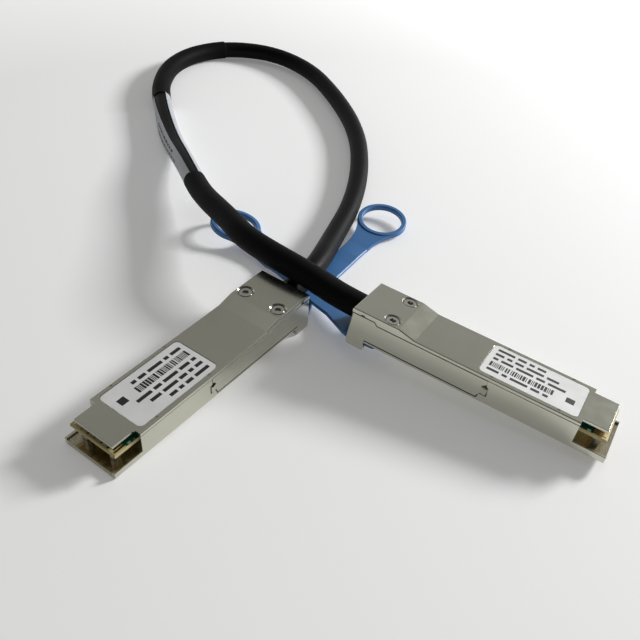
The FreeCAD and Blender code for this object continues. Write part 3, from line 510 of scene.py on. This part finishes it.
def add_skin(shape, start, length, angles, inner, outer, turn=None):
    """A skin over a stretch of the cable. Inner and outer give its radii, in millimetres, at
    a distance along the stretch and an angle; angles all the way round make a tube. Turn
    gives how far an angle is turned at a distance."""
    closed = abs(angles[-1] - angles[0] - 2 * math.pi) < 1e-6
    around = angles[:-1] if closed else angles
    count = len(around)
    steps = max(2, round(length / SKIN_STEP))
    eased = [share * min(RIM_LENGTH, length / 4) for share in RIM_STEPS]
    along = sorted(set(eased + [length - d for d in eased]
                       + [length * i / steps for i in range(1, steps)]))
    rings = []
    for distance in along:
        point, sideways, upward = cable_frame((start + distance) * MM)
        ring = []
        for radius, a in [(outer, a) for a in around] + [(inner, a) for a in around[::-1]]:
            way = a + (turn(distance, a) if turn else 0.0)
            out = (sideways * math.cos(way) + upward * math.sin(way)) * MM
            ring.append(shape.verts.new(point + out * radius(distance, a)))
        rings.append(ring)
    loops = [list(range(count)), list(range(count, 2 * count))] if closed else [
        list(range(2 * count))]
    for near, far in zip(rings, rings[1:]):
        for loop in loops:
            for j, k in zip(loop, loop[1:] + loop[:1]):
                shape.faces.new((near[j], near[k], far[k], far[j]))
    for ring in (rings[0], rings[-1]):
        for j in range(count if closed else count - 1):
            k = (j + 1) % count
            shape.faces.new((ring[j], ring[k], ring[2 * count - 1 - k], ring[2 * count - 1 - j]))


def angle_steps(first, last, count):
    return [math.radians(first + (last - first) * i / count) for i in range(count + 1)]


SLEEVE_START, SLEEVE_LENGTH, SLEEVE_OUTER = 242.0, 71.5, 3.98
CUFF_START, CUFF_OUTER, CUFF_GAP = 391.5, 3.95, 0.4
WAVE_HEIGHT, WAVE_LENGTH = 0.03, 3.1     # the shrunk tubes' slow waves
TUBE_ROUNDING, TUBE_RIM = 0.16, 0.3      # how far their ends round off, over what length
WRAP_START, WRAP_LENGTH, WRAP_OUTER = 313.0, 79.5, 3.84
WRAP_ANGLES = (114.0, 426.0)      # the label's two edges, round the cable from its inner side
WRAP_TURN = 38.0                  # degrees that its first edge is turned away at its start
WRAP_BULGE = (0.95, 190.0, 52.0)  # how far it stands off, at which angle, over how many degrees
WRAP_EDGE = (0.14, 14.0)          # how far its edges lift, over how many degrees
WRAP_LENGTHS = (1.5, 2.5, 3.5)    # a printed bar takes one of these by chance
PRINT_DEPTH = 0.02                # of the print, under and over the label's face
# two lines of bars: the angles of their sides, and where along the label they start and end
PRINT_LINES = [(138, 150, 24.0, 54.0), (164, 172, 28.0, 62.0)]


def skin_inside(distance, angle):
    return SKIN_INNER


def shrunk(outer, length):
    """A heat-shrunk tube's outer radius: rounded at its ends, with slow waves along it."""
    def radius(distance, angle):
        edge = min(distance, length - distance)
        rounding = TUBE_ROUNDING * max(0.0, 1 - edge / TUBE_RIM) ** 2
        wave = WAVE_HEIGHT * math.sin(distance / WAVE_LENGTH + 2 * math.sin(angle))
        return outer + wave - rounding
    return radius


def tube_piece(name, start, length, outer, material):
    shape = bmesh.new()
    add_skin(shape, start, length, angle_steps(0, 360, TUBE_SIDES), skin_inside, shrunk(outer, length))
    return new_piece(name, shape, material)


def wrap_turn(distance, angle):
    """The label was wound on askew: its first edge runs slanting round the cable."""
    across = (math.degrees(angle) - WRAP_ANGLES[0]) / (WRAP_ANGLES[1] - WRAP_ANGLES[0])
    along = 1 - min(1.0, distance / WRAP_LENGTH)
    return math.radians(WRAP_TURN) * along ** 1.5 * (1 - across)


def wrap_lift(distance, angle):
    """How far the label stands off the jacket: a loose fold on one side, and lifted edges."""
    height, middle, half = WRAP_BULGE
    share = distance / WRAP_LENGTH
    along = math.sin(math.pi * min(1.0, share / 0.9)) ** 2 * (1.3 - 0.8 * share)
    across = max(0.0, 1 - abs(math.degrees(angle) - middle) / half)
    lift, reach = WRAP_EDGE
    edge = max(max(0.0, 1 - abs(math.degrees(angle) - rim) / reach) for rim in WRAP_ANGLES)
    return height * along * across * across * (3 - 2 * across) + lift * edge


def wrap_inner(distance, angle):
    return SKIN_INNER + wrap_lift(distance, angle)


def wrap_outer(distance, angle):
    return WRAP_OUTER + wrap_lift(distance, angle)


def wrap_piece():
    shape = bmesh.new()
    add_skin(shape, WRAP_START, WRAP_LENGTH, angle_steps(*WRAP_ANGLES, WRAP_SIDES), wrap_inner,
             wrap_outer, wrap_turn)
    return new_piece("cable_label_skin", shape, WRAP)


def wrap_print():
    """Two lines of plain bars on the label's outer side."""
    chance = random.Random(2)
    shape = bmesh.new()
    for first, last, distance, end in PRINT_LINES:
        while distance < end:
            length = chance.choice(WRAP_LENGTHS)
            add_skin(shape, WRAP_START + distance, length, angle_steps(first, last, BAR_SIDES),
                     lambda d, a: wrap_outer(distance + d, a) - PRINT_DEPTH,
                     lambda d, a: wrap_outer(distance + d, a) + PRINT_DEPTH,
                     lambda d, a: wrap_turn(distance + d, a))
            distance += length + PRINT_GAP
    return new_piece("cable_label_print", shape, INK)


def round_skin(piece):
    """Smooth shading, with the piece's rims left sharp."""
    piece.data.polygons.foreach_set("use_smooth", [True] * len(piece.data.polygons))
    rims = piece.modifiers.new("sharp_rims", "EDGE_SPLIT")
    rims.split_angle = math.radians(SHARP_EDGE)


cuff_length = TRAVELLED[-1] / MM - (PLUG_LENGTH - FERRULE_END) - CUFF_GAP - CUFF_START
sleeve = tube_piece("cable_sleeve_skin", SLEEVE_START, SLEEVE_LENGTH, SLEEVE_OUTER, SLEEVE)
cuff = tube_piece("cable_sleeve_long", CUFF_START, cuff_length, CUFF_OUTER, SLEEVE)
wrap = wrap_piece()
marks = wrap_print()
for piece in (sleeve, cuff, wrap):
    round_skin(piece)
paint(cable, JACKET)
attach(cable, "root")
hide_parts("cable")
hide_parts("cable_sleeve")
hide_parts("cable_label")


# ---------------------------------------------------------------- table and light
FLOOR_HALF, FLOOR_COLOR, FLOOR_ROUGHNESS = 4.0, (0.9, 0.9, 0.9), 0.9
FLOOR_GLOW = (0.17, 1.0)         # beside the object, and beyond the lamp's reach
FLOOR_FADE = (0.22, 0.9)         # metres from the object between which it rises
SKY = [(0.0, 0.85), (0.16, 0.6), (0.3, 0.4), (0.42, 0.39), (0.6, 0.28), (0.66, 0.27),
       (0.73, 0.31), (0.84, 0.27), (0.94, 0.5), (1.0, 0.8)]      # height, brightness
SKY_BLUE = 0.985                 # the room's blue, against its red and green
KEY_PLACE, KEY_SIZE, KEY_POWER = (0.823, 0.495, 0.448), (0.22, 0.22), 12.0


def make_floor():
    """A pale table top, which glows a little for what sees or mirrors it, and keeps the
    object's shadow. It glows more beyond the lamp's reach, so it stays pale to its edge."""
    mesh = bpy.data.meshes.new("floor")
    half = FLOOR_HALF
    mesh.from_pydata([(-half, -half, 0), (half, -half, 0), (half, half, 0), (-half, half, 0)], [],
                     [(0, 1, 2, 3)])
    floor = bpy.data.objects.new("floor", mesh)
    bpy.context.scene.collection.objects.link(floor)
    material, tree, shader = new_material("floor_white", FLOOR_COLOR, FLOOR_ROUGHNESS)
    path = tree.nodes.new("ShaderNodeLightPath")
    seen = math_node(tree, "MAXIMUM", path.outputs["Is Camera Ray"], path.outputs["Is Glossy Ray"])
    seen = math_node(tree, "MAXIMUM", seen, path.outputs["Is Transmission Ray"])
    reach = tree.nodes.new("ShaderNodeVectorMath")
    reach.operation = "LENGTH"
    coordinates = tree.nodes.new("ShaderNodeTexCoord")
    tree.links.new(coordinates.outputs["Object"], reach.inputs[0])
    far = spread(tree, reach.outputs["Value"], *FLOOR_GLOW, *FLOOR_FADE)
    glow = math_node(tree, "MULTIPLY", seen, far)
    tree.links.new(glow, shader.inputs["Emission Strength"])
    shader.inputs["Emission Color"].default_value = (1, 1, 1, 1)
    mesh.materials.append(material)


def make_world():
    """Soft room light: pale at the horizon and overhead, and dimmer in between and in front."""
    world = bpy.data.worlds.new("room")
    bpy.context.scene.world = world
    world.use_nodes = True
    tree = world.node_tree
    background = tree.nodes["Background"]
    coordinates = tree.nodes.new("ShaderNodeTexCoord")
    split = tree.nodes.new("ShaderNodeSeparateXYZ")
    ramp = tree.nodes.new("ShaderNodeValToRGB")
    for height, _ in SKY[1:-1]:
        ramp.color_ramp.elements.new(height)
    for element, (height, level) in zip(ramp.color_ramp.elements, SKY):
        element.position = height
        element.color = (level, level, level * SKY_BLUE, 1)
    tree.links.new(coordinates.outputs["Generated"], split.inputs[0])
    tree.links.new(split.outputs["Z"], ramp.inputs[0])
    tree.links.new(ramp.outputs["Color"], background.inputs["Color"])
    behind = spread(tree, split.outputs["Y"], 0.16, 1.0, -0.3, 0.35)
    low = spread(tree, split.outputs["Z"], 1.0, 0.2, 0.0, 0.25)
    tree.links.new(math_node(tree, "MAXIMUM", behind, low), background.inputs["Strength"])


def softbox(name, place, target, size, power):
    data = bpy.data.lights.new(name, "AREA")
    data.shape = "RECTANGLE"
    data.size, data.size_y = size
    data.energy = power
    lamp = bpy.data.objects.new(name, data)
    bpy.context.scene.collection.objects.link(lamp)
    lamp.location = place
    lamp.rotation_euler = (Vector(target) - Vector(place)).to_track_quat("-Z", "Y").to_euler()


make_floor()
make_world()
softbox("key", KEY_PLACE, (0, 0, 0), KEY_SIZE, KEY_POWER)
bpy.context.scene.view_settings.view_transform = "Standard"
